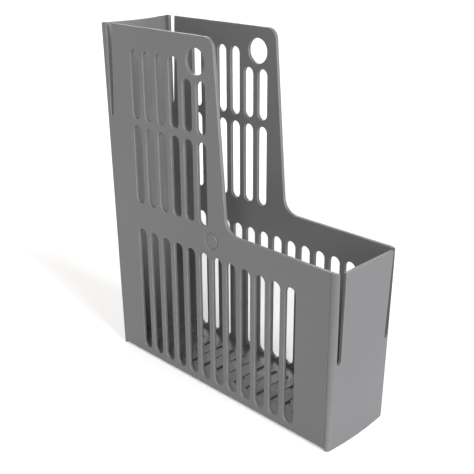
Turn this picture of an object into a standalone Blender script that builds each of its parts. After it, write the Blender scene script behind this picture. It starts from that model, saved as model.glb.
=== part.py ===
"""Snap-together magazine file holder: two slotted L-shaped sides, a tall back, a low front and a floor.

Frame: +Z up, origin on the table under the middle of the bounding box in X and Y.
The tall back is at -X, the low front at +X, and the two sides face -Y (near) and +Y (far).
"""

import math

import bmesh
import bpy
from mathutils import Vector

MM = 0.001

# Overall sizes, in millimetres.
HEIGHT = 310.0
LOW_HEIGHT = 155.0
WIDTH = 73.8
WALL = 3.0
FOOT_GAP = 2.0          # the sides and the floor stop this far above the table
SEAM_GAP = 0.3          # clearance between two pieces that touch

HALF_WIDTH = WIDTH / 2
INNER_HALF_WIDTH = HALF_WIDTH - WALL

# End panels: outer planes lean outward from bottom to top, seams with the sides are upright.
FRONT_SEAM_X = 126.5
FRONT_BOTTOM_X = 130.1
FRONT_TOP_X = 135.0
FRONT_RETURN = 0.4      # flat part of the front's sides, between the seam and the round corner
FRONT_BOW = 1.8         # the front bulges outward at its bottom edge
BACK_SEAM_X = -125.3
BACK_BOTTOM_X = -129.2
BACK_TOP_X = -135.0
BACK_CORNER_RADIUS = 3.5
BACK_BOW = 4.0          # the back is drawn inward at its top edge
BACK_DIP = 1.0          # the middle of the back's top edge is this much lower than its corners
BACK_TOP_ROUND = 5.0    # the outer edge of the back's top is rounded off at the two corners

# Side outline.
TALL_TOP_X = 5.0        # front edge of the tall part, measured at the top edge
TALL_LOW_X = 17.9       # the same edge, measured at the level of the low edge
TALL_CORNER_RADIUS = 9.5
STEP_RADIUS = 14.0

# Upright slots in the sides.
SLOT_WIDTH = 10.7
COLUMN_PITCH = 16.2
FIRST_COLUMN_X = -90.2
LOW_COLUMNS = 12
TALL_COLUMNS = 6
SHORT_COLUMNS = 2       # the last columns of the top row stop under the thumb hole
LOW_ROW = (8.2, 130.4)
FAR_LOW_ROW_SHIFT = 2.7 # the far side's low row stands this much nearer the front
MIDDLE_ROW = (155.0, 226.2)
TOP_ROW = (232.0, 291.0)
SHORT_TOP = 275.2

THUMB_HOLE = (-14.8, 289.8)
THUMB_HOLE_RADIUS = 10.6

# Round groove in the outside of each side; the disc it encloses is flush with the side.
GROOVE = (0.5, 144.1)
GROOVE_RADIUS = 8.0
GROOVE_WIDTH = 2.0
GROOVE_DEPTH = 0.8

# Corner slits, open at the top.
BACK_SLIT_BOTTOM = 229.0
BACK_SLIT_LEFT_X = -126.6
BACK_SLIT_RIGHT_X = (-123.4, -119.2)
FRONT_SLIT_BOTTOM = 78.0
FRONT_SLIT_WIDTH = 4.8
FRONT_SLIT_LOW_Y = 30.4  # middle of the slit at the centre of its round lower end
FRONT_SLIT_TOP_Y = 31.8  # middle of the slit at the top edge
FRONT_SLIT_REACH = 12.0  # the slit's cutter runs from the seam this far outward

# Lap joints: a tongue on each end panel lies behind a rebate in each side.
TONGUE_LENGTH = 6.0
TONGUE_THICKNESS = 1.1
TONGUE_FOOT = 7.0
STUD_RADIUS = 1.8
STUD_HEIGHT = 0.7
FRONT_STUDS_Z = (26.0, 78.0, 130.0)
BACK_STUDS_Z = (26.0, 92.0, 158.0, 212.0)

# Floor.
FLOOR_BOTTOM = 2.3
FLOOR_TOP = 5.0
FLOOR_SLOT_WIDTH = 3.5
FLOOR_SLOT_LENGTH = 41.0
FLOOR_SLOT_PITCH = 13.84
FLOOR_FIRST_SLOT_X = -114.3
FLOOR_SLOTS = 17
FLOOR_CLIP = 1.5        # the floor's corners are cut off by this much
TAB_LENGTH = 16.0
TAB_REACH = 1.2
TAB_BOTTOM = 2.9
TAB_TOP = 4.4
SIDE_TABS_X = (-84.0, 0.0, 84.0)

# How finely round stretches and leaning walls are divided.
ARC_STEPS = 8
CIRCLE_STEPS = 24
STUD_STEPS = 16
FRONT_LEVELS = 6
BACK_LEVELS = 10
SHARP_ANGLE = 30.0      # degrees; edges that turn more than this are sharp

# Helper bodies for cutting and joining.
OVERCUT = 5.0           # a cutter runs this far past what it cuts
SINK = 0.4              # a joined body starts this far inside the body that carries it

GREY = (0.205, 0.210, 0.222, 1.0)
ROUGHNESS = 0.5


def clear_scene():
    for thing in list(bpy.data.objects):
        bpy.data.objects.remove(thing, do_unlink=True)


def plastic(name):
    material = bpy.data.materials.new(name)
    material.use_nodes = True
    shader = material.node_tree.nodes["Principled BSDF"]
    shader.inputs["Base Color"].default_value = GREY
    shader.inputs["Roughness"].default_value = ROUGHNESS
    shader.inputs["Metallic"].default_value = 0.0
    return material


# Outlines and closed bodies. A body is a pair of rings of points, in millimetres.

def across(u, v, w):
    """Outline in X and Z, extruded along Y."""
    return (u, w, v)


def upright(u, v, w):
    """Outline in X and Y, extruded along Z."""
    return (u, v, w)


def lengthwise(u, v, w):
    """Outline in Y and Z, extruded along X."""
    return (w, u, v)


def arc(centre, radius, start, end, steps=ARC_STEPS):
    """Points of a round stretch, from angle start to angle end in degrees."""
    points = []
    for step in range(steps + 1):
        angle = math.radians(start + (end - start) * step / steps)
        points.append((centre[0] + radius * math.cos(angle), centre[1] + radius * math.sin(angle)))
    return points


def circle(centre, radius, steps=CIRCLE_STEPS):
    return arc(centre, radius, 0, 360, steps)[:-1]


def box_outline(low_u, low_v, high_u, high_v):
    return [(low_u, low_v), (high_u, low_v), (high_u, high_v), (low_u, high_v)]


def obround(centre_x, low_z, high_z, width):
    """A slot with round ends."""
    radius = width / 2
    top = arc((centre_x, high_z - radius), radius, 0, 180)
    bottom = arc((centre_x, low_z + radius), radius, 180, 360)
    return top + bottom


def prism(outline, levels, place):
    """A body over an outline between two levels; place turns (u, v, level) into a point."""
    low, high = levels
    return [place(u, v, low) for u, v in outline], [place(u, v, high) for u, v in outline]


def add_body(bm, body):
    rings = []
    for points in body:
        rings.append([bm.verts.new(Vector(point) * MM) for point in points])
    low, high = rings
    bm.faces.new(list(reversed(low)))
    bm.faces.new(high)
    for index in range(len(low)):
        bm.faces.new((low[index - 1], low[index], high[index], high[index - 1]))


def mesh_from(name, bm):
    bmesh.ops.recalc_face_normals(bm, faces=bm.faces)
    mesh = bpy.data.meshes.new(name)
    bm.to_mesh(mesh)
    bm.free()
    return mesh


def mesh_of_bodies(name, bodies):
    bm = bmesh.new()
    for body in bodies:
        add_body(bm, body)
    return mesh_from(name, bm)


def add_object(name, mesh):
    thing = bpy.data.objects.new(name, mesh)
    bpy.context.scene.collection.objects.link(thing)
    return thing


def add_piece(name, mesh):
    mesh.materials.append(plastic(f"{name}_plastic"))
    return add_object(name, mesh)


def combine(piece, label, bodies, operation):
    """Cut bodies out of a piece or join them to it, and leave plain faces behind."""
    tool = add_object(f"{piece.name}_{label}", mesh_of_bodies(label, bodies))
    modifier = piece.modifiers.new(label, "BOOLEAN")
    modifier.operation = operation
    modifier.solver = "EXACT"
    modifier.object = tool
    depsgraph = bpy.context.evaluated_depsgraph_get()
    mesh = bpy.data.meshes.new_from_object(piece.evaluated_get(depsgraph))
    piece.modifiers.clear()
    piece.data = mesh
    bpy.data.objects.remove(tool, do_unlink=True)


def cut(piece, label, bodies):
    combine(piece, label, bodies, "DIFFERENCE")


def join(piece, label, bodies):
    combine(piece, label, bodies, "UNION")


def shade(piece):
    piece.data.shade_smooth()
    piece.data.set_sharp_from_angle(angle=math.radians(SHARP_ANGLE))


def between(side, first, second):
    """Two distances from the middle as rising levels of Y on one side (-1 near, +1 far)."""
    return sorted((side * first, side * second))


# The sides.

def column_x(index):
    return FIRST_COLUMN_X + COLUMN_PITCH * index


def side_outline():
    """The L-shaped side in X and Z, counter-clockwise seen from -Y."""
    rear = BACK_SEAM_X + SEAM_GAP / 2
    front = FRONT_SEAM_X - SEAM_GAP / 2
    lean = math.degrees(math.atan2(HEIGHT - LOW_HEIGHT, TALL_LOW_X - TALL_TOP_X))
    step_run = STEP_RADIUS / math.tan(math.radians((180.0 - lean) / 2))
    step_centre = (TALL_LOW_X + step_run, LOW_HEIGHT + STEP_RADIUS)
    corner_run = TALL_CORNER_RADIUS * math.tan(math.radians(lean / 2))
    corner_centre = (TALL_TOP_X - corner_run, HEIGHT - TALL_CORNER_RADIUS)
    points = [(rear, FOOT_GAP), (front, FOOT_GAP), (front, LOW_HEIGHT)]
    points += arc(step_centre, STEP_RADIUS, 270, 270 - lean)
    points += arc(corner_centre, TALL_CORNER_RADIUS, 90 - lean, 90)
    points += [(rear, HEIGHT)]
    return points


def back_slit_outline():
    """The tapered slit between the back's corner and the side, open at the top."""
    above = HEIGHT + OVERCUT
    radius = (BACK_SLIT_RIGHT_X[0] - BACK_SLIT_LEFT_X) / 2
    centre = (BACK_SLIT_LEFT_X + radius, BACK_SLIT_BOTTOM + radius)
    return arc(centre, radius, 180, 360) + [(BACK_SLIT_RIGHT_X[1], above), (BACK_SLIT_LEFT_X, above)]


def side_openings(side, levels):
    """All the upright slots and the thumb hole of one side."""
    shift = FAR_LOW_ROW_SHIFT if side > 0 else 0.0
    outlines = [obround(column_x(index) + shift, *LOW_ROW, SLOT_WIDTH) for index in range(LOW_COLUMNS)]
    for index in range(TALL_COLUMNS):
        short = index >= TALL_COLUMNS - SHORT_COLUMNS
        top = SHORT_TOP if short else TOP_ROW[1]
        outlines.append(obround(column_x(index), *MIDDLE_ROW, SLOT_WIDTH))
        outlines.append(obround(column_x(index), TOP_ROW[0], top, SLOT_WIDTH))
    outlines.append(circle(THUMB_HOLE, THUMB_HOLE_RADIUS))
    return [prism(outline, levels, across) for outline in outlines]


def stud_places(sign, seam, studs_z):
    return [(seam - sign * TONGUE_LENGTH / 2, z) for z in studs_z]


def rebates(side):
    """Shallow steps inside the side's ends, where the end panels' tongues lie."""
    levels = between(side, INNER_HALF_WIDTH - OVERCUT, INNER_HALF_WIDTH + TONGUE_THICKNESS + SEAM_GAP)
    foot = TONGUE_FOOT - SEAM_GAP
    reach = TONGUE_LENGTH + SEAM_GAP
    front_top = LOW_HEIGHT - TONGUE_FOOT + SEAM_GAP
    back_top = BACK_SLIT_BOTTOM - TONGUE_FOOT + SEAM_GAP
    front = box_outline(FRONT_SEAM_X - reach, foot, FRONT_SEAM_X + OVERCUT, front_top)
    back = box_outline(BACK_SEAM_X - OVERCUT, foot, BACK_SEAM_X + reach, back_top)
    return [prism(outline, levels, across) for outline in (front, back)]


def sockets(side):
    """Round sockets in the rebates for the tongues' studs."""
    skin = INNER_HALF_WIDTH + TONGUE_THICKNESS + SEAM_GAP
    levels = between(side, skin - SINK, skin + STUD_HEIGHT)
    places = stud_places(1, FRONT_SEAM_X, FRONT_STUDS_Z) + stud_places(-1, BACK_SEAM_X, BACK_STUDS_Z)
    radius = STUD_RADIUS + SEAM_GAP
    return [prism(circle(place, radius, STUD_STEPS), levels, across) for place in places]


def tab_outline(centre, gap):
    """The cross-section of a floor tab, or of its pocket when gap is the clearance round it."""
    reach = TAB_LENGTH / 2 + gap
    return box_outline(centre - reach, TAB_BOTTOM - gap, centre + reach, TAB_TOP + gap)


def side_pockets(side):
    levels = between(side, INNER_HALF_WIDTH - OVERCUT, INNER_HALF_WIDTH + TAB_REACH + SEAM_GAP)
    return [prism(tab_outline(x, SEAM_GAP), levels, across) for x in SIDE_TABS_X]


def build_side(name, side):
    slab = prism(side_outline(), between(side, INNER_HALF_WIDTH, HALF_WIDTH), across)
    panel = add_piece(name, mesh_of_bodies(name, [slab]))
    through = between(side, INNER_HALF_WIDTH - OVERCUT, HALF_WIDTH + OVERCUT)
    shallow = between(side, HALF_WIDTH - GROOVE_DEPTH, HALF_WIDTH + OVERCUT)
    flush = between(side, HALF_WIDTH - GROOVE_DEPTH - SINK, HALF_WIDTH)
    cut(panel, "openings", side_openings(side, through))
    cut(panel, "slit", [prism(back_slit_outline(), through, across)])
    cut(panel, "groove", [prism(circle(GROOVE, GROOVE_RADIUS), shallow, across)])
    join(panel, "disc", [prism(circle(GROOVE, GROOVE_RADIUS - GROOVE_WIDTH), flush, across)])
    cut(panel, "rebates", rebates(side))
    cut(panel, "sockets", sockets(side))
    cut(panel, "pockets", side_pockets(side))
    shade(panel)


# The end panels. sign is +1 for the front and -1 for the back.

def end_section(sign, seam, outer, radius, bow):
    """Outer and inner paths of an end panel at one level, from the near seam to the far seam.

    bow moves the middle of the panel along +X.
    """
    start = seam + sign * SEAM_GAP / 2
    centre_x = outer - sign * radius
    centre_y = HALF_WIDTH - radius
    paths = []
    for path_radius in (radius, radius - WALL):
        near = [(start, -centre_y - path_radius)]
        for step in range(ARC_STEPS + 1):
            angle = math.radians(90.0 * step / ARC_STEPS)
            x = centre_x + sign * path_radius * math.sin(angle)
            near.append((x, -centre_y - path_radius * math.cos(angle)))
        flat = []
        for step in range(1, ARC_STEPS):
            share = 2.0 * step / ARC_STEPS - 1.0
            flat.append((centre_x + sign * path_radius + bow * (1.0 - share ** 2), centre_y * share))
        far = [(x, -y) for x, y in reversed(near)]
        paths.append(near + flat + far)
    return paths


def front_outer(z):
    return FRONT_BOTTOM_X + (FRONT_TOP_X - FRONT_BOTTOM_X) * z / LOW_HEIGHT


def front_radius(z):
    """The front's corners start at an upright line and widen as the front leans outward."""
    return front_outer(z) - FRONT_SEAM_X - FRONT_RETURN


def front_section(z):
    bow = FRONT_BOW * (1.0 - z / LOW_HEIGHT)
    return end_section(1, FRONT_SEAM_X, front_outer(z), front_radius(z), bow)


def back_section(z):
    share = z / HEIGHT
    outer = BACK_BOTTOM_X + (BACK_TOP_X - BACK_BOTTOM_X) * share
    return end_section(-1, BACK_SEAM_X, outer, BACK_CORNER_RADIUS, BACK_BOW * share ** 2)


def level_top(x, y):
    return 0.0


def back_drop(x, y):
    """How far the back's top edge lies under the full height."""
    reach = min(BACK_TOP_ROUND, max(0.0, BACK_TOP_X + BACK_TOP_ROUND - x))
    rounding = BACK_TOP_ROUND - math.sqrt(BACK_TOP_ROUND ** 2 - reach ** 2)
    return rounding + BACK_DIP * (1.0 - (y / HALF_WIDTH) ** 2)


def loft_end(name, section, height, levels, top_drop):
    """Loft an end panel through its sections, with its top edge lowered by top_drop."""
    bm = bmesh.new()
    rings = []
    for step in range(levels + 1):
        z = height * step / levels
        outer, inner = section(z)
        ring = []
        for x, y in outer + inner[::-1]:
            lower = top_drop(x, y) if step == levels else 0.0
            ring.append(bm.verts.new(Vector((x, y, z - lower)) * MM))
        rings.append(ring)
    count = len(rings[0])
    for low, high in zip(rings, rings[1:]):
        for index in range(count):
            bm.faces.new((low[index - 1], low[index], high[index], high[index - 1]))
    for ring in (rings[0], rings[-1]):
        for index in range(count // 2 - 1):
            bm.faces.new((ring[index], ring[index + 1], ring[-index - 2], ring[-index - 1]))
    return mesh_from(name, bm)


def finish_end(panel, sign, seam, studs_z, tongue_top, inner_x):
    """Tongues with studs for the sides, and a blind pocket for the floor's tab."""
    tongue_ends = sorted((seam - sign * TONGUE_LENGTH, seam + sign * TONGUE_LENGTH / 4))
    tongue = box_outline(tongue_ends[0], TONGUE_FOOT, tongue_ends[1], tongue_top)
    face = INNER_HALF_WIDTH + TONGUE_THICKNESS
    tongues = []
    studs = []
    for side in (-1, 1):
        tongues.append(prism(tongue, between(side, INNER_HALF_WIDTH, face), across))
        for place in stud_places(sign, seam, studs_z):
            outline = circle(place, STUD_RADIUS, STUD_STEPS)
            studs.append(prism(outline, between(side, face - SINK, face + STUD_HEIGHT), across))
    join(panel, "tongues", tongues)
    join(panel, "studs", studs)
    pocket = sorted((inner_x - sign * OVERCUT, inner_x + sign * (TAB_REACH + SEAM_GAP)))
    cut(panel, "pocket", [prism(tab_outline(0.0, SEAM_GAP), pocket, lengthwise)])
    shade(panel)


def front_slit_outline(side):
    """The upright slit in one corner of the front, in Y and Z, open at the top."""
    radius = FRONT_SLIT_WIDTH / 2
    centre_z = FRONT_SLIT_BOTTOM + radius
    above = LOW_HEIGHT + OVERCUT
    lean = (FRONT_SLIT_TOP_Y - FRONT_SLIT_LOW_Y) / (LOW_HEIGHT - centre_z)
    above_y = FRONT_SLIT_TOP_Y + lean * OVERCUT
    outline = arc((FRONT_SLIT_LOW_Y, centre_z), radius, 180, 360)
    outline += [(above_y + radius, above), (above_y - radius, above)]
    return [(side * y, z) for y, z in outline]


def build_front():
    name = "front_panel"
    panel = add_piece(name, loft_end(name, front_section, LOW_HEIGHT, FRONT_LEVELS, level_top))
    reach = (FRONT_SEAM_X + FRONT_RETURN, FRONT_SEAM_X + FRONT_SLIT_REACH)
    cut(panel, "slits", [prism(front_slit_outline(side), reach, lengthwise) for side in (-1, 1)])
    inner_x = FRONT_BOTTOM_X - WALL + FRONT_BOW
    finish_end(panel, 1, FRONT_SEAM_X, FRONT_STUDS_Z, LOW_HEIGHT - TONGUE_FOOT, inner_x)


def build_back():
    name = "back_panel"
    panel = add_piece(name, loft_end(name, back_section, HEIGHT, BACK_LEVELS, back_drop))
    through = (-HALF_WIDTH - OVERCUT, HALF_WIDTH + OVERCUT)
    cut(panel, "slits", [prism(back_slit_outline(), through, across)])
    inner_x = BACK_BOTTOM_X + WALL
    finish_end(panel, -1, BACK_SEAM_X, BACK_STUDS_Z, BACK_SLIT_BOTTOM - TONGUE_FOOT, inner_x)


# The floor.

def floor_outline():
    rear = BACK_BOTTOM_X + WALL + SEAM_GAP
    front = FRONT_BOTTOM_X - WALL - SEAM_GAP
    edge = INNER_HALF_WIDTH - SEAM_GAP
    clip = FLOOR_CLIP
    return [
        (rear + clip, -edge), (front - clip, -edge), (front, -edge + clip), (front, edge - clip),
        (front - clip, edge), (rear + clip, edge), (rear, edge - clip), (rear, -edge + clip),
    ]


def floor_slots():
    levels = (FLOOR_BOTTOM - OVERCUT, FLOOR_TOP + OVERCUT)
    slots = []
    for index in range(FLOOR_SLOTS):
        x = FLOOR_FIRST_SLOT_X + FLOOR_SLOT_PITCH * index
        outline = obround(x, -FLOOR_SLOT_LENGTH / 2, FLOOR_SLOT_LENGTH / 2, FLOOR_SLOT_WIDTH)
        slots.append(prism(outline, levels, upright))
    return slots


def build_floor():
    name = "base_grid"
    plate = prism(floor_outline(), (FLOOR_BOTTOM, FLOOR_TOP), upright)
    floor = add_piece(name, mesh_of_bodies(name, [plate]))
    reach = INNER_HALF_WIDTH + TAB_REACH
    side_tabs = [prism(tab_outline(x, 0.0), (-reach, reach), across) for x in SIDE_TABS_X]
    ends = (BACK_BOTTOM_X + WALL - TAB_REACH, FRONT_BOTTOM_X - WALL + FRONT_BOW + TAB_REACH)
    join(floor, "side_tabs", side_tabs)
    join(floor, "end_tabs", [prism(tab_outline(0.0, 0.0), ends, lengthwise)])
    cut(floor, "slots", floor_slots())
    shade(floor)


def main():
    clear_scene()
    build_side("near_side_panel", -1)
    build_side("far_side_panel", 1)
    build_back()
    build_front()
    build_floor()


main()
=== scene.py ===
"""Looks of a snap-together magazine file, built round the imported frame.

The frame's five panels are replaced by finer ones in the same places, with rounded edges, smooth
corners and moulded grey plastic. All sizes below are in millimetres unless a name says otherwise.
"""

import math

import bmesh
import bpy
import numpy as np
from mathutils import Matrix, Vector
from mathutils.geometry import delaunay_2d_cdt


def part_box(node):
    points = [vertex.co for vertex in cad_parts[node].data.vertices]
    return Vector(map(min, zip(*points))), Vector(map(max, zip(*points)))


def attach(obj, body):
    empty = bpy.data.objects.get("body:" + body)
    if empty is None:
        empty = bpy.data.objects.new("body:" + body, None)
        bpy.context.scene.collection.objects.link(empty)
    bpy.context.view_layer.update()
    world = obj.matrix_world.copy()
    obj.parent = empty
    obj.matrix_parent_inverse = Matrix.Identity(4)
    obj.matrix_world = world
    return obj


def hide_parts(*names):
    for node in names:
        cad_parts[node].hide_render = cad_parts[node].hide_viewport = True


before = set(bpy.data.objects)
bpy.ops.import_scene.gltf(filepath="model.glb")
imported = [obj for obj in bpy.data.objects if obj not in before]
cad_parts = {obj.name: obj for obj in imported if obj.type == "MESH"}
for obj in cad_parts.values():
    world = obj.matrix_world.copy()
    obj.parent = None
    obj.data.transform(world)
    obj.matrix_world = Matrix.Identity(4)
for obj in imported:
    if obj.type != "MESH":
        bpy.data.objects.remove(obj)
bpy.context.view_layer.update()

MM = 0.001


def box_mm(node):
    low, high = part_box(node)
    return low / MM, high / MM


# Driving sizes, from the frame.
SIDE_LOW, SIDE_HIGH = box_mm("near_side_panel")
FRONT_HIGH = box_mm("front_panel")[1]
BACK_LOW, BACK_HIGH = box_mm("back_panel")
FLOOR_LOW, FLOOR_HIGH = box_mm("base_grid")
HEIGHT = BACK_HIGH.z
LOW_HEIGHT = FRONT_HIGH.z
HALF_WIDTH = -SIDE_LOW.y
WALL = SIDE_HIGH.y - SIDE_LOW.y
INNER_HALF_WIDTH = HALF_WIDTH - WALL
FOOT_GAP = SIDE_LOW.z
FRONT_TOP_X = FRONT_HIGH.x
BACK_TOP_X = BACK_LOW.x

SEAM_GAP = 0.3
FRONT_SEAM_X = SIDE_HIGH.x + SEAM_GAP / 2
BACK_SEAM_X = SIDE_LOW.x - SEAM_GAP / 2

# End panels, as in the frame.
FRONT_BOTTOM_X = 130.1
FRONT_RETURN = 0.4
FRONT_BOW = 1.8
BACK_BOTTOM_X = -129.2
BACK_CORNER_RADIUS = 3.5
BACK_BOW = 4.0
BACK_DIP = 1.0
BACK_TOP_ROUND = 5.0
BACK_DIP_HEIGHT = 0.1 * HEIGHT      # the back's top is drawn down over this height

# The sides' outline and openings.
TALL_TOP_X = 5.0
TALL_LOW_X = 17.9
TALL_CORNER_RADIUS = 9.5
STEP_RADIUS = 14.0
SLOT_WIDTH = 10.7
COLUMN_PITCH = 16.2
FIRST_COLUMN_X = -90.2
LOW_COLUMNS = 12
TALL_COLUMNS = 6
SHORT_COLUMNS = 2
LOW_ROW = (8.2, 130.4)
FAR_LOW_ROW_SHIFT = 2.7
MIDDLE_ROW = (155.0, 226.2)
TOP_ROW = (232.0, 291.0)
SHORT_TOP = 275.2
THUMB_HOLE = (-14.8, 289.8)
THUMB_HOLE_RADIUS = 10.6
GROOVE = (0.5, 144.1)
GROOVE_RADIUS = 8.0
GROOVE_WIDTH = 2.0
GROOVE_DEPTH = 0.8

# Corner slits.
BACK_SLIT_BOTTOM = 229.0
BACK_SLIT_LEFT_X = -126.6
BACK_SLIT_RIGHT_X = (-123.4, -119.2)
FRONT_SLIT_BOTTOM = 78.0
FRONT_SLIT_WIDTH = 4.8
FRONT_SLIT_LOW_Y = 30.4
FRONT_SLIT_TOP_Y = 31.8

# Lap joints and floor tabs.
TONGUE_LENGTH = 6.0
TONGUE_THICKNESS = 1.1
TONGUE_FOOT = 7.0
STUD_RADIUS = 1.8
STUD_HEIGHT = 0.7
FRONT_STUDS_Z = (26.0, 78.0, 130.0)
BACK_STUDS_Z = (26.0, 92.0, 158.0, 212.0)
FLOOR_BOTTOM = FLOOR_LOW.z
FLOOR_TOP = FLOOR_HIGH.z
FLOOR_SLOT_WIDTH = 3.5
FLOOR_SLOT_LENGTH = 41.0
FLOOR_SLOT_PITCH = 13.84
FLOOR_FIRST_SLOT_X = -114.3
FLOOR_SLOTS = 17
FLOOR_CLIP = 1.5
TAB_LENGTH = 16.0
TAB_REACH = 1.2
TAB_BOTTOM = 2.9
TAB_TOP = 4.4
SIDE_TABS_X = (-84.0, 0.0, 84.0)

# Fineness and rounding.
EDGE_RADIUS = 0.45
SEAM_EDGE_RADIUS = 0.15
GUARD = 1.8             # a loop of points this many edge radii inside each edge keeps the faces flat
EDGE_ANGLES = (0.0, 30.0, 60.0, 90.0)
ARC_STEPS = 14
CIRCLE_STEPS = 48
STUD_STEPS = 20
GRID_STEP = 8.0
CORNER_STEP = 0.9
OVERCUT = 5.0
SINK = 0.4
SHARP_ANGLE = 40.0      # degrees
NORMAL_WEIGHT = 100     # the even normals follow the largest faces entirely
FLOOR_EDGE_RADIUS = 0.35
EDGE_GROWTH = 0.2       # how fast an edge's radius grows with the distance from a seam's end
SEAM_TOLERANCE = 0.05   # places this near a seam count as on it
SLIT_STEPS = 6
END_ROW_STEP = 5.0
END_SQUEEZE = 0.14
RETURN_COLUMN = 2.0     # the last column of points stands this far past the back's corner
CLEARANCE = 0.35        # grid points nearer an edge than this share of the grid step are left out
WELD = 1e-6

# The groove's wall, as (inset, depth, wear and painted highlight): its shoulder in edge radii, then its
# foot in millimetres and in shares of its depth.
GROOVE_SHOULDER = ((GUARD, 0.0, 0.0), (1.0, 0.0, 0.5), (0.5, 0.07, 1.0), (0.13, 0.25, 1.0))
GROOVE_FOOT = ((0.0, 0.5, 0.3), (-0.15, 0.85, 0.0), (-0.4, 1.0, 0.0))

# Plastic: its two greys, how far towards the lighter one it stands, and its surface in metres.
DARK_GREY = (0.056, 0.0565, 0.058, 1.0)
LIGHT_GREY = (0.20, 0.20, 0.203, 1.0)
GREY_SHARE = 0.28
# how much lighter the rounded edges are painted: handling wear together with a painted highlight
WEAR_AND_HIGHLIGHT_LIGHTENING = 0.26
WEAR_GLOSS = 0.10
PLASTIC_SPECULAR = 0.45
BUMP_STRENGTH = 0.35
BUMP_DISTANCE = 0.00006

# Studio: the floor in metres, the brightness of the surroundings by the sine of the height angle,
# and the lights, each as (name, azimuth, elevation, strength, colour).
STAGE_REACH = 12.0
STAGE_LEVEL = -0.0002
STAGE_WHITE = (0.86, 0.86, 0.86, 1.0)
STAGE_ROUGHNESS = 0.9
STAGE_SPECULAR = 0.1
WALL_TOP = 0.10
CEILING_START = 0.30
WALL_BRIGHTNESS = 1.02
CEILING_BRIGHTNESS = 0.32
AIR_COLOUR = (1.0, 0.99, 0.98, 1.0)
LIGHT_WIDTH = 22.0      # degrees
LIGHTS = (
    ("front_light", 6.0, 17.0, 4.3, (0.95, 0.975, 1.0)),
    ("side_light", 50.0, 36.0, 2.8, (1.0, 0.985, 0.97)),
    ("rear_light", 225.0, 28.0, 1.4, (1.0, 0.995, 0.985)),
)

# Camera: place in metres, angles in degrees, sizes in millimetres.
CAMERA_PLACE = (0.4573, -0.4653, 0.3996)
CAMERA_AZIMUTH = 44.89
CAMERA_ELEVATION = 21.92
CAMERA_ROLL = -0.27
CAMERA_LENS = 61.98
CAMERA_SENSOR = 36.0
CAMERA_REACH = 50.0     # metres


# Outlines. Material lies to the left of every outline: outer ones run counter-clockwise, holes clockwise.

def arc(centre, radius, start, end, steps=ARC_STEPS):
    points = []
    for step in range(steps + 1):
        angle = math.radians(start + (end - start) * step / steps)
        points.append((centre[0] + radius * math.cos(angle), centre[1] + radius * math.sin(angle)))
    return points


def circle(centre, radius, steps=CIRCLE_STEPS):
    return arc(centre, radius, 360, 0, steps)[:-1]


def obround(centre_x, low, high, width):
    radius = width / 2
    top = arc((centre_x, high - radius), radius, 180, 0)
    bottom = arc((centre_x, low + radius), radius, 0, -180)
    return top + bottom


def divided(outline, step_u, step_v=GRID_STEP):
    """The outline with its long stretches divided; step_u gives the longest step in u at a place."""
    points = []
    for index, (u, v) in enumerate(outline):
        next_u, next_v = outline[(index + 1) % len(outline)]
        count_u = abs(next_u - u) / step_u((u + next_u) / 2)
        count_v = abs(next_v - v) / step_v
        count = max(1, math.ceil(count_u - 0.01), math.ceil(count_v - 0.01))
        for step in range(count):
            share = step / count
            points.append((u + (next_u - u) * share, v + (next_v - v) * share))
    return points


def inset(outline, distances):
    """Each point moved into the material by its own distance, square to the outline."""
    points = np.array(outline)
    before = points - np.roll(points, 1, axis=0)
    after = np.roll(points, -1, axis=0) - points
    before /= np.linalg.norm(before, axis=1)[:, None]
    after /= np.linalg.norm(after, axis=1)[:, None]
    left_before = np.stack([-before[:, 1], before[:, 0]], axis=1)
    left_after = np.stack([-after[:, 1], after[:, 0]], axis=1)
    turn = 1.0 + np.sum(left_before * left_after, axis=1)
    return points + (left_before + left_after) * (np.array(distances) / turn)[:, None]


def inside(points, outlines):
    """Which points lie inside an odd number of outlines."""
    crossed = np.zeros(len(points), dtype=int)
    for outline in outlines:
        start = np.array(outline)
        end = np.roll(start, -1, axis=0)
        for (u0, v0), (u1, v1) in zip(start, end):
            if v0 == v1:
                continue
            spans = (points[:, 1] > v0) != (points[:, 1] > v1)
            at = u0 + (points[:, 1] - v0) * (u1 - u0) / (v1 - v0)
            crossed += spans & (points[:, 0] < at)
    return crossed % 2 == 1


def triangles(outlines, columns, rows, squeeze):
    """Fill the space between the outlines; returns the added inner points and the triangles.

    The inner points stand on a grid of columns and rows. squeeze shortens v while triangulating,
    so that the triangles stay narrow across the columns.
    """
    edge_points = np.concatenate([np.array(outline) for outline in outlines])
    scale = np.array([1.0, squeeze])
    grid = np.array([(u, v) for u in columns for v in rows])
    grid = grid[inside(grid, outlines)]
    keep = []
    for point in grid:
        gap = np.min(np.linalg.norm((edge_points - point) * scale, axis=1))
        keep.append(gap > CLEARANCE * GRID_STEP * squeeze)
    grid = grid[np.array(keep, dtype=bool)]
    edges = []
    start = 0
    for outline in outlines:
        count = len(outline)
        edges += [(start + index, start + (index + 1) % count) for index in range(count)]
        start += count
    everything = np.concatenate([edge_points, grid]) * scale
    result = delaunay_2d_cdt([Vector(point) for point in everything], edges, [], 0, WELD)
    coordinates, _, faces, origins = result[:4]
    centres = np.array([np.mean([coordinates[i][:] for i in face], axis=0) for face in faces])
    wanted = inside(centres / scale, outlines)
    if len(coordinates) != len(everything):
        raise ValueError("two outlines cross, or two points coincide")
    faces = [[origins[i][0] for i in face] for face, use in zip(faces, wanted) if use]
    return grid, faces


# Slabs: flat outlines given a thickness and rounded edges, then bent into place by a function.

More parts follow.
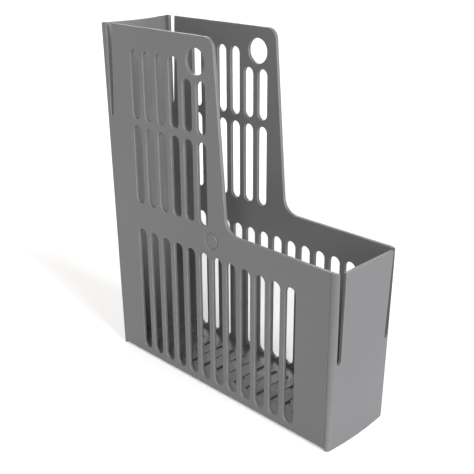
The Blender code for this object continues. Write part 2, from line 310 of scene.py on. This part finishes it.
def edge_profile(radius, thickness):
    """Rings from one face round the edge to the other: (inset, depth, wear and painted highlight)."""
    half = [(radius * GUARD, 0.0, 0.0)]
    for angle in EDGE_ANGLES:
        turn = math.radians(angle)
        # the middle of a rounded edge takes the full wear and painted highlight, its ends half
        wear_and_highlight = 1.0 if 0.0 < angle < 90.0 else 0.5
        half.append((radius * (1.0 - math.sin(turn)), radius * (1.0 - math.cos(turn)), wear_and_highlight))
    far = [(distance, thickness - depth, wear_and_highlight) for distance, depth, wear_and_highlight in reversed(half)]
    return half + [(0.0, thickness / 2, 0.0)] + far


def slab(name, outlines, thickness, place, radius_at, columns, rows, squeeze=1.0, groove=None):
    """A slab over the first outline less the others.

    groove is (outline, width, depth): a groove inside that outline, sunk into the slab's first face.
    """
    bm = bmesh.new()
    # each point's share of edge wear and of the painted edge highlight
    wear_and_highlight_layer = bm.verts.layers.float.new("wear_and_highlight")

    def vertex(u, v, depth, wear_and_highlight):
        vert = bm.verts.new(Vector(place(u, v, depth)) * MM)
        vert[wear_and_highlight_layer] = wear_and_highlight
        return vert

    def bridge(first, second):
        for index in range(len(first)):
            bm.faces.new((first[index - 1], first[index], second[index], second[index - 1]))

    first_face = []
    last_face = []
    for outline in outlines:
        profiles = [edge_profile(radius_at(u, v), thickness) for u, v in outline]
        rings = []
        for level in range(len(profiles[0])):
            points = inset(outline, [profile[level][0] for profile in profiles])
            ring = []
            for (u, v), profile in zip(points, profiles):
                ring.append(vertex(u, v, profile[level][1], profile[level][2]))
            rings.append((points, ring))
        for (_, ring), (_, after) in zip(rings, rings[1:]):
            bridge(ring, after)
        first_face.append(rings[0])
        last_face.append(rings[-1])

    if groove:
        outline, width, depth = groove
        wall = [(share * EDGE_RADIUS, level, wear_and_highlight) for share, level, wear_and_highlight in GROOVE_SHOULDER]
        wall += [(distance, share * depth, wear_and_highlight) for distance, share, wear_and_highlight in GROOVE_FOOT]
        steps = wall + [(-width - distance, level, wear_and_highlight) for distance, level, wear_and_highlight in reversed(wall)]
        rings = []
        for distance, level, wear_and_highlight in steps:
            points = inset(outline, [distance] * len(outline))
            rings.append((points, [vertex(u, v, level, wear_and_highlight) for u, v in points]))
        for (_, ring), (_, after) in zip(rings, rings[1:]):
            bridge(ring, after)
        bm.faces.new(rings[-1][1])
        first_face.append(rings[0])

    for depth, face in ((0.0, first_face), (thickness, last_face)):
        loops = [points for points, _ in face]
        grid, faces = triangles(loops, columns, rows, squeeze)
        verts = [vert for _, ring in face for vert in ring]
        verts += [vertex(u, v, depth, 0.0) for u, v in grid]
        for triple in faces:
            bm.faces.new([verts[index] for index in triple])
    bmesh.ops.recalc_face_normals(bm, faces=bm.faces)
    return piece_from(name, bm)


def piece_from(name, bm):
    mesh = bpy.data.meshes.new(name)
    bm.to_mesh(mesh)
    bm.free()
    piece = bpy.data.objects.new(name, mesh)
    bpy.context.scene.collection.objects.link(piece)
    return piece


# Plain bodies for the joints: prisms over an outline between two levels.

def across(u, v, w):
    return (u, w, v)


def lengthwise(u, v, w):
    return (w, u, v)


def box_outline(low_u, low_v, high_u, high_v):
    return [(low_u, low_v), (high_u, low_v), (high_u, high_v), (low_u, high_v)]


def between(side, first, second):
    return sorted((side * first, side * second))


def prism(outline, levels, place):
    return [[place(u, v, level) for u, v in outline] for level in levels]


def combine(piece, bodies, operation):
    """Cut plain bodies out of a piece, or join them to it."""
    bm = bmesh.new()
    for body in bodies:
        low, high = [[bm.verts.new(Vector(point) * MM) for point in ring] for ring in body]
        bm.faces.new(list(reversed(low)))
        bm.faces.new(high)
        for index in range(len(low)):
            bm.faces.new((low[index - 1], low[index], high[index], high[index - 1]))
    bmesh.ops.recalc_face_normals(bm, faces=bm.faces)
    tool = piece_from(f"{piece.name}_tool", bm)
    modifier = piece.modifiers.new("joint", "BOOLEAN")
    modifier.operation = operation
    modifier.solver = "EXACT"
    modifier.object = tool
    depsgraph = bpy.context.evaluated_depsgraph_get()
    mesh = bpy.data.meshes.new_from_object(piece.evaluated_get(depsgraph))
    piece.modifiers.clear()
    piece.data = mesh
    bpy.data.objects.remove(tool, do_unlink=True)


def stud_places(sign, seam, studs_z):
    return [(seam - sign * TONGUE_LENGTH / 2, z) for z in studs_z]


def tab_outline(centre, gap):
    reach = TAB_LENGTH / 2 + gap
    return box_outline(centre - reach, TAB_BOTTOM - gap, centre + reach, TAB_TOP + gap)


# The sides.

def side_outline():
    lean = math.degrees(math.atan2(HEIGHT - LOW_HEIGHT, TALL_LOW_X - TALL_TOP_X))
    step_run = STEP_RADIUS / math.tan(math.radians((180.0 - lean) / 2))
    step_centre = (TALL_LOW_X + step_run, LOW_HEIGHT + STEP_RADIUS)
    corner_run = TALL_CORNER_RADIUS * math.tan(math.radians(lean / 2))
    corner_centre = (TALL_TOP_X - corner_run, HEIGHT - TALL_CORNER_RADIUS)
    slit_radius = (BACK_SLIT_RIGHT_X[0] - BACK_SLIT_LEFT_X) / 2
    slit_centre = (BACK_SLIT_LEFT_X + slit_radius, BACK_SLIT_BOTTOM + slit_radius)
    points = [(SIDE_LOW.x, FOOT_GAP), (SIDE_HIGH.x, FOOT_GAP), (SIDE_HIGH.x, LOW_HEIGHT)]
    points += arc(step_centre, STEP_RADIUS, 270, 270 - lean)
    points += arc(corner_centre, TALL_CORNER_RADIUS, 90 - lean, 90)
    points += [(BACK_SLIT_RIGHT_X[1], HEIGHT)]
    points += arc(slit_centre, slit_radius, 0, -70, SLIT_STEPS)
    points += [(SIDE_LOW.x, BACK_SLIT_BOTTOM)]
    return points


def side_openings(side):
    outlines = []
    shift = FAR_LOW_ROW_SHIFT if side > 0 else 0.0
    for index in range(LOW_COLUMNS):
        outlines.append(obround(FIRST_COLUMN_X + COLUMN_PITCH * index + shift, *LOW_ROW, SLOT_WIDTH))
    for index in range(TALL_COLUMNS):
        x = FIRST_COLUMN_X + COLUMN_PITCH * index
        top = SHORT_TOP if index >= TALL_COLUMNS - SHORT_COLUMNS else TOP_ROW[1]
        outlines.append(obround(x, *MIDDLE_ROW, SLOT_WIDTH))
        outlines.append(obround(x, TOP_ROW[0], top, SLOT_WIDTH))
    outlines.append(circle(THUMB_HOLE, THUMB_HOLE_RADIUS))
    return outlines


def side_radius(u, v):
    """Edges along the seams are crisp; the others are rounded."""
    on_back_seam = u < SIDE_LOW.x + SEAM_TOLERANCE and v < BACK_SLIT_BOTTOM
    if u > SIDE_HIGH.x - SEAM_TOLERANCE or on_back_seam:
        return SEAM_EDGE_RADIUS
    return blended_radius(math.hypot(u - SIDE_LOW.x, v - BACK_SLIT_BOTTOM))


def blended_radius(distance):
    """The edge radius grows from a seam's to the usual one with the distance from the seam's end."""
    return min(EDGE_RADIUS, SEAM_EDGE_RADIUS + EDGE_GROWTH * distance)


def steps_between(low, high, step):
    count = max(1, round((high - low) / step))
    return [low + (high - low) * index / count for index in range(count + 1)]


def build_side(name, node, side):
    def place(u, v, depth):
        return (u, side * (HALF_WIDTH - depth), v)

    outlines = [divided(outline, lambda u: GRID_STEP) for outline in [side_outline()] + side_openings(side)]
    columns = steps_between(SIDE_LOW.x, SIDE_HIGH.x, GRID_STEP)
    rows = steps_between(FOOT_GAP, HEIGHT, GRID_STEP)
    groove = (circle(GROOVE, GROOVE_RADIUS), GROOVE_WIDTH, GROOVE_DEPTH)
    panel = slab(name, outlines, WALL, place, side_radius, columns, rows, groove=groove)

    skin = INNER_HALF_WIDTH + TONGUE_THICKNESS + SEAM_GAP
    levels = between(side, INNER_HALF_WIDTH - OVERCUT, skin)
    foot = TONGUE_FOOT - SEAM_GAP
    reach = TONGUE_LENGTH + SEAM_GAP
    front_top = LOW_HEIGHT - TONGUE_FOOT + SEAM_GAP
    back_top = BACK_SLIT_BOTTOM - TONGUE_FOOT + SEAM_GAP
    front = box_outline(FRONT_SEAM_X - reach, foot, FRONT_SEAM_X + OVERCUT, front_top)
    back = box_outline(BACK_SEAM_X - OVERCUT, foot, BACK_SEAM_X + reach, back_top)
    combine(panel, [prism(outline, levels, across) for outline in (front, back)], "DIFFERENCE")
    levels = between(side, skin - SINK, skin + STUD_HEIGHT)
    places = stud_places(1, FRONT_SEAM_X, FRONT_STUDS_Z) + stud_places(-1, BACK_SEAM_X, BACK_STUDS_Z)
    holes = [circle(place_xz, STUD_RADIUS + SEAM_GAP, STUD_STEPS) for place_xz in places]
    combine(panel, [prism(outline, levels, across) for outline in holes], "DIFFERENCE")
    levels = between(side, INNER_HALF_WIDTH - OVERCUT, INNER_HALF_WIDTH + TAB_REACH + SEAM_GAP)
    pockets = [tab_outline(x, SEAM_GAP) for x in SIDE_TABS_X]
    combine(panel, [prism(outline, levels, across) for outline in pockets], "DIFFERENCE")
    finish_piece(panel, node)


# The end panels, drawn flat in (u, z) and wrapped round their corners. sign is +1 front, -1 back.

def wrap(sign, flat, corner, shape, u, z, depth):
    """Wrap a flat place round an end panel: flat half-width, then the corner, then the return."""
    outer, radius, bow = shape(z)
    side = -1.0 if u < 0 else 1.0
    along = abs(u)
    centre_x = outer - sign * radius
    centre_y = HALF_WIDTH - radius
    if along <= flat:
        share = along / flat
        return (outer - sign * depth + bow * (1.0 - share ** 2), side * centre_y * share)
    if along <= flat + corner:
        angle = math.radians(90.0 * (1.0 - (along - flat) / corner))
        run = radius - depth
        return (centre_x + sign * run * math.sin(angle), side * (centre_y + run * math.cos(angle)))
    return (centre_x - sign * (along - flat - corner), side * (HALF_WIDTH - depth))


def front_shape(z):
    outer = FRONT_BOTTOM_X + (FRONT_TOP_X - FRONT_BOTTOM_X) * z / LOW_HEIGHT
    return outer, outer - FRONT_SEAM_X - FRONT_RETURN, FRONT_BOW * (1.0 - z / LOW_HEIGHT)


def back_shape(z):
    share = z / HEIGHT
    outer = BACK_BOTTOM_X + (BACK_TOP_X - BACK_BOTTOM_X) * share
    return outer, BACK_CORNER_RADIUS, BACK_BOW * share ** 2


FRONT_FLAT = HALF_WIDTH - front_shape(LOW_HEIGHT)[1]
FRONT_CORNER = front_shape(LOW_HEIGHT)[1] * math.pi / 2
BACK_FLAT = HALF_WIDTH - BACK_CORNER_RADIUS
BACK_CORNER = BACK_CORNER_RADIUS * math.pi / 2


def front_slit_middle(z):
    """How far from the middle of the front each slit's centre line stands, at one level."""
    centre_z = FRONT_SLIT_BOTTOM + FRONT_SLIT_WIDTH / 2
    share = (z - centre_z) / (LOW_HEIGHT - centre_z)
    return FRONT_SLIT_LOW_Y + (FRONT_SLIT_TOP_Y - FRONT_SLIT_LOW_Y) * share


def place_front(u, z, depth):
    """Wrap the front; up to the slits' outer edges each depth lies straight behind the last, along X."""
    x, y = wrap(1, FRONT_FLAT, FRONT_CORNER, front_shape, u, z, 0.0)
    outer, radius, bow = front_shape(z)
    if abs(u) > FRONT_FLAT + FRONT_CORNER:
        return (x, math.copysign(HALF_WIDTH - depth, u), z)
    straight = min(front_slit_middle(z) + FRONT_SLIT_WIDTH / 2, INNER_HALF_WIDTH - EDGE_RADIUS / 2)
    reach = abs(y)
    if reach > straight:
        reach = straight + (reach - straight) * (1.0 - depth / (HALF_WIDTH - straight))
    centre_y = HALF_WIDTH - radius
    if reach <= centre_y:
        x = outer - depth + bow * (1.0 - (reach / centre_y) ** 2)
    else:
        run = radius - depth
        x = outer - radius + math.sqrt(max(0.0, run ** 2 - (reach - centre_y) ** 2))
    return (x, math.copysign(reach, y), z)


def front_along(y, z):
    """The flat place u of a point of the front's outside, from its distance y from the middle."""
    radius = front_shape(z)[1]
    centre_y = HALF_WIDTH - radius
    if y <= centre_y:
        return FRONT_FLAT * y / centre_y
    angle = math.degrees(math.acos((y - centre_y) / radius))
    return FRONT_FLAT + FRONT_CORNER * (1.0 - angle / 90.0)


def place_back(u, z, depth):
    x, y = wrap(-1, BACK_FLAT, BACK_CORNER, back_shape, u, z, depth)
    rise = max(0.0, 1.0 - (HEIGHT - z) / BACK_DIP_HEIGHT)
    reach = min(BACK_TOP_ROUND, max(0.0, BACK_TOP_X + BACK_TOP_ROUND - x))
    rounding = BACK_TOP_ROUND - math.sqrt(BACK_TOP_ROUND ** 2 - reach ** 2)
    drop = rounding + BACK_DIP * (1.0 - (y / HALF_WIDTH) ** 2)
    return (x, y, z - rise * drop)


def back_return(z):
    """How far the back's return runs along the side, at one level."""
    outer, radius, _ = back_shape(z)
    return BACK_SEAM_X - SEAM_GAP / 2 - (outer + radius)


def corner_columns(flat, corner, end):
    inner = steps_between(0.0, flat, GRID_STEP)
    outer = steps_between(flat, flat + corner, CORNER_STEP)[1:] + [end]
    half = inner + outer
    return [-u for u in reversed(half[1:])] + half


def end_step(flat):
    def step(u):
        return CORNER_STEP if abs(u) > flat else GRID_STEP
    return step


def mirrored(points):
    return [(-u, v) for u, v in reversed(points)]


def front_outline():
    """The front's flat outline, with the two slits open at the top."""
    end = FRONT_FLAT + FRONT_CORNER + FRONT_RETURN - SEAM_GAP / 2
    radius = FRONT_SLIT_WIDTH / 2
    levels = steps_between(FRONT_SLIT_BOTTOM + radius, LOW_HEIGHT, END_ROW_STEP)
    slit = [(front_slit_middle(z) + radius, z) for z in reversed(levels)]
    slit += arc((FRONT_SLIT_LOW_Y, FRONT_SLIT_BOTTOM + radius), radius, 0, -180)[1:-1]
    slit += [(front_slit_middle(z) - radius, z) for z in levels]
    right = [(FRONT_FLAT, 0.0), (end, 0.0), (end, LOW_HEIGHT)]
    right += [(front_along(y, z), z) for y, z in slit]
    return right + mirrored(right)


def back_outline():
    """The back's flat outline: the slits cut into its two returns above the seams' top."""
    corner_end = BACK_FLAT + BACK_CORNER
    slit_radius = (BACK_SLIT_RIGHT_X[0] - BACK_SLIT_LEFT_X) / 2
    slit_centre = (BACK_SLIT_LEFT_X + slit_radius, BACK_SLIT_BOTTOM + slit_radius)

    def along(x, z):
        return corner_end + back_return(z) - (BACK_SEAM_X - SEAM_GAP / 2 - x)

    right = [(BACK_FLAT, 0.0), (corner_end + back_return(0.0), 0.0)]
    right.append((corner_end + back_return(BACK_SLIT_BOTTOM), BACK_SLIT_BOTTOM))
    for x, z in arc(slit_centre, slit_radius, 250, 180, SLIT_STEPS):
        right.append((along(x, z), z))
    right += [(along(BACK_SLIT_LEFT_X, HEIGHT), HEIGHT), (BACK_FLAT, HEIGHT)]
    return right + mirrored(right)


def add_joints(panel, sign, seam, studs_z, tongue_top, inner_x):
    tongue_ends = sorted((seam - sign * TONGUE_LENGTH, seam + sign * TONGUE_LENGTH / 4))
    tongue = box_outline(tongue_ends[0], TONGUE_FOOT, tongue_ends[1], tongue_top)
    face = INNER_HALF_WIDTH + TONGUE_THICKNESS
    tongues = []
    studs = []
    for side in (-1, 1):
        tongues.append(prism(tongue, between(side, INNER_HALF_WIDTH, face), across))
        for place_xz in stud_places(sign, seam, studs_z):
            outline = circle(place_xz, STUD_RADIUS, STUD_STEPS)
            studs.append(prism(outline, between(side, face - SINK, face + STUD_HEIGHT), across))
    combine(panel, tongues, "UNION")
    combine(panel, studs, "UNION")
    pocket = sorted((inner_x - sign * OVERCUT, inner_x + sign * (TAB_REACH + SEAM_GAP)))
    combine(panel, [prism(tab_outline(0.0, SEAM_GAP), pocket, lengthwise)], "DIFFERENCE")


def build_front():
    end = FRONT_FLAT + FRONT_CORNER + FRONT_RETURN - SEAM_GAP / 2

    def radius_at(u, v):
        return SEAM_EDGE_RADIUS if abs(u) > end - SEAM_TOLERANCE else EDGE_RADIUS

    outline = divided(front_outline(), end_step(FRONT_FLAT), END_ROW_STEP)
    columns = corner_columns(FRONT_FLAT, FRONT_CORNER, end)
    rows = steps_between(0.0, LOW_HEIGHT, END_ROW_STEP)
    panel = slab("front_wall", [outline], WALL, place_front, radius_at, columns, rows, END_SQUEEZE)
    inner_x = FRONT_BOTTOM_X - WALL + FRONT_BOW
    add_joints(panel, 1, FRONT_SEAM_X, FRONT_STUDS_Z, LOW_HEIGHT - TONGUE_FOOT, inner_x)
    finish_piece(panel, "front_panel")


def build_back():
    corner_end = BACK_FLAT + BACK_CORNER

    def radius_at(u, v):
        seam = corner_end + back_return(v)
        if v < BACK_SLIT_BOTTOM and abs(u) > seam - SEAM_TOLERANCE:
            return SEAM_EDGE_RADIUS
        return blended_radius(math.hypot(abs(u) - seam, v - BACK_SLIT_BOTTOM))

    outline = divided(back_outline(), end_step(BACK_FLAT), END_ROW_STEP)
    columns = corner_columns(BACK_FLAT, BACK_CORNER, corner_end + RETURN_COLUMN)
    rows = steps_between(0.0, HEIGHT, END_ROW_STEP)
    panel = slab("back_wall", [outline], WALL, place_back, radius_at, columns, rows, END_SQUEEZE)
    add_joints(panel, -1, BACK_SEAM_X, BACK_STUDS_Z, BACK_SLIT_BOTTOM - TONGUE_FOOT, BACK_BOTTOM_X + WALL)
    finish_piece(panel, "back_panel")


# The floor.

def build_floor():
    def place(u, v, depth):
        return (u, v, FLOOR_TOP - depth)

    rear = BACK_BOTTOM_X + WALL + SEAM_GAP
    front = FRONT_BOTTOM_X - WALL - SEAM_GAP
    edge = INNER_HALF_WIDTH - SEAM_GAP
    clip = FLOOR_CLIP
    outline = [
        (rear + clip, -edge), (front - clip, -edge), (front, -edge + clip), (front, edge - clip),
        (front - clip, edge), (rear + clip, edge), (rear, edge - clip), (rear, -edge + clip),
    ]
    outlines = [outline]
    for index in range(FLOOR_SLOTS):
        x = FLOOR_FIRST_SLOT_X + FLOOR_SLOT_PITCH * index
        outlines.append(obround(x, -FLOOR_SLOT_LENGTH / 2, FLOOR_SLOT_LENGTH / 2, FLOOR_SLOT_WIDTH))
    outlines = [divided(points, lambda u: GRID_STEP) for points in outlines]
    columns = steps_between(rear, front, GRID_STEP)
    rows = steps_between(-edge, edge, GRID_STEP)

    def radius_at(u, v):
        return FLOOR_EDGE_RADIUS

    plate = slab("floor_grid", outlines, FLOOR_TOP - FLOOR_BOTTOM, place, radius_at, columns, rows)
    reach = INNER_HALF_WIDTH + TAB_REACH
    side_tabs = [prism(tab_outline(x, 0.0), (-reach, reach), across) for x in SIDE_TABS_X]
    ends = (BACK_BOTTOM_X + WALL - TAB_REACH, FRONT_BOTTOM_X - WALL + FRONT_BOW + TAB_REACH)
    combine(plate, side_tabs, "UNION")
    combine(plate, [prism(tab_outline(0.0, 0.0), ends, lengthwise)], "UNION")
    finish_piece(plate, "base_grid")


# Finish of every piece.

def plastic():
    """Moulded grey plastic: fine grain, soft flow marks, and rounded edges painted lighter for handling
    wear and a painted highlight.
    """
    material = bpy.data.materials.new("moulded_grey_plastic")
    material.use_nodes = True
    nodes = material.node_tree.nodes
    links = material.node_tree.links
    shader = nodes["Principled BSDF"]
    place = nodes.new("ShaderNodeTexCoord")

    def noise(scale, detail, roughness=0.5):
        node = nodes.new("ShaderNodeTexNoise")
        node.inputs["Scale"].default_value = scale
        node.inputs["Detail"].default_value = detail
        node.inputs["Roughness"].default_value = roughness
        links.new(place.outputs["Object"], node.inputs["Vector"])
        return node.outputs["Fac"]

    def ramp(source, low, high, low_value, high_value):
        node = nodes.new("ShaderNodeMapRange")
        node.inputs["From Min"].default_value = low
        node.inputs["From Max"].default_value = high
        node.inputs["To Min"].default_value = low_value
        node.inputs["To Max"].default_value = high_value
        links.new(source, node.inputs["Value"])
        return node.outputs["Result"]

    def maths(operation, first, second):
        node = nodes.new("ShaderNodeMath")
        node.operation = operation
        for socket, value in zip(node.inputs, (first, second)):
            if isinstance(value, float):
                socket.default_value = value
            else:
                links.new(value, socket)
        return node.outputs["Value"]

    flow = noise(9.0, 3.0)
    mottle = noise(140.0, 4.0, 0.6)
    grain = noise(2600.0, 2.0)
    # The rounded edges' mask, broken up by noise: their wear, and where a highlight is painted on them.
    wear_and_highlight_attribute = nodes.new("ShaderNodeAttribute")
    wear_and_highlight_attribute.attribute_name = "wear_and_highlight"
    wear_and_highlight = maths("MULTIPLY", wear_and_highlight_attribute.outputs["Fac"], ramp(noise(60.0, 3.0), 0.35, 0.65, 0.2, 1.0))

    tone = maths("ADD", ramp(flow, 0.3, 0.7, -0.035, 0.035), ramp(mottle, 0.3, 0.7, -0.02, 0.02))
    tone = maths("ADD", tone, ramp(grain, 0.3, 0.7, -0.03, 0.03))
    # Lighten the rounded edges: wear, together with a painted highlight.
    tone = maths("ADD", tone, maths("MULTIPLY", wear_and_highlight, WEAR_AND_HIGHLIGHT_LIGHTENING))
    colour = nodes.new("ShaderNodeMix")
    colour.data_type = "RGBA"
    colour.inputs["A"].default_value = DARK_GREY
    colour.inputs["B"].default_value = LIGHT_GREY
    links.new(maths("ADD", tone, GREY_SHARE), colour.inputs["Factor"])
    links.new(colour.outputs["Result"], shader.inputs["Base Color"])

    gloss = maths("ADD", ramp(flow, 0.3, 0.7, 0.50, 0.58), ramp(mottle, 0.3, 0.7, -0.03, 0.03))
    gloss = maths("SUBTRACT", gloss, maths("MULTIPLY", wear_and_highlight, WEAR_GLOSS))
    links.new(gloss, shader.inputs["Roughness"])
    shader.inputs["Specular IOR Level"].default_value = PLASTIC_SPECULAR

    bump = nodes.new("ShaderNodeBump")
    bump.inputs["Strength"].default_value = BUMP_STRENGTH
    bump.inputs["Distance"].default_value = BUMP_DISTANCE
    links.new(maths("ADD", grain, maths("MULTIPLY", mottle, 0.6)), bump.inputs["Height"])
    links.new(bump.outputs["Normal"], shader.inputs["Normal"])
    return material


PLASTIC = plastic()


def finish_piece(piece, node):
    """Shading, plastic, and the piece's place in the frame."""
    mesh = piece.data
    mesh.shade_smooth()
    mesh.set_sharp_from_angle(angle=math.radians(SHARP_ANGLE))
    weighted = piece.modifiers.new("even_normals", "WEIGHTED_NORMAL")
    weighted.keep_sharp = True
    weighted.weight = NORMAL_WEIGHT
    mesh.materials.clear()
    mesh.materials.append(PLASTIC)
    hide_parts(node)
    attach(piece, "root")


# Floor, light and camera.

def build_stage():
    bm = bmesh.new()
    corners = box_outline(-STAGE_REACH, -STAGE_REACH, STAGE_REACH, STAGE_REACH)
    bm.faces.new([bm.verts.new((x, y, STAGE_LEVEL)) for x, y in corners])
    stage = piece_from("studio_floor", bm)
    material = bpy.data.materials.new("pale_floor")
    material.use_nodes = True
    shader = material.node_tree.nodes["Principled BSDF"]
    shader.inputs["Base Color"].default_value = STAGE_WHITE
    shader.inputs["Roughness"].default_value = STAGE_ROUGHNESS
    shader.inputs["Specular IOR Level"].default_value = STAGE_SPECULAR
    stage.data.materials.append(material)


def add_light(name, azimuth, elevation, strength, colour):
    """A wide, far-off soft light; azimuth turns from +X towards -Y, both angles in degrees."""
    data = bpy.data.lights.new(name, "SUN")
    data.angle = math.radians(LIGHT_WIDTH)
    data.energy = strength
    data.color = colour
    lamp = bpy.data.objects.new(name, data)
    turn = math.radians(azimuth)
    rise = math.radians(elevation)
    away = Vector((math.cos(turn) * math.cos(rise), -math.sin(turn) * math.cos(rise), math.sin(rise)))
    lamp.rotation_euler = away.to_track_quat("Z", "Y").to_euler()
    bpy.context.scene.collection.objects.link(lamp)


def build_light():
    """A white wall all round, a dimmer ceiling, and three wide lights."""
    world = bpy.data.worlds.new("studio")
    world.use_nodes = True
    nodes = world.node_tree.nodes
    links = world.node_tree.links
    direction = nodes.new("ShaderNodeTexCoord")
    parts = nodes.new("ShaderNodeSeparateXYZ")
    links.new(direction.outputs["Generated"], parts.inputs["Vector"])
    fade = nodes.new("ShaderNodeMapRange")
    fade.interpolation_type = "SMOOTHSTEP"
    fade.inputs["From Min"].default_value = WALL_TOP
    fade.inputs["From Max"].default_value = CEILING_START
    fade.inputs["To Min"].default_value = WALL_BRIGHTNESS
    fade.inputs["To Max"].default_value = CEILING_BRIGHTNESS
    links.new(parts.outputs["Z"], fade.inputs["Value"])
    background = nodes["Background"]
    background.inputs["Color"].default_value = AIR_COLOUR
    links.new(fade.outputs["Result"], background.inputs["Strength"])
    bpy.context.scene.world = world
    for name, azimuth, elevation, strength, colour in LIGHTS:
        add_light(name, azimuth, elevation, strength, colour)


def build_camera():
    azimuth = math.radians(CAMERA_AZIMUTH)
    elevation = math.radians(CAMERA_ELEVATION)
    roll = math.radians(CAMERA_ROLL)
    level = math.cos(elevation)
    away = Vector((math.sin(azimuth) * level, -math.cos(azimuth) * level, math.sin(elevation)))
    right = (-away).cross(Vector((0, 0, 1))).normalized()
    up = right.cross(-away)
    turned_right = right * math.cos(roll) + up * math.sin(roll)
    turned_up = up * math.cos(roll) - right * math.sin(roll)
    data = bpy.data.cameras.new("camera")
    data.sensor_width = CAMERA_SENSOR
    data.lens = CAMERA_LENS
    data.clip_end = CAMERA_REACH
    camera = bpy.data.objects.new("camera", data)
    turn = Matrix((turned_right, turned_up, away)).transposed().to_4x4()
    camera.matrix_world = Matrix.Translation(CAMERA_PLACE) @ turn
    bpy.context.scene.collection.objects.link(camera)
    bpy.context.scene.camera = camera


build_camera()
build_stage()
build_light()
build_side("near_side", "near_side_panel", -1)
build_side("far_side", "far_side_panel", 1)
build_front()
build_back()
build_floor()

bpy.context.scene.view_settings.view_transform = "Standard"
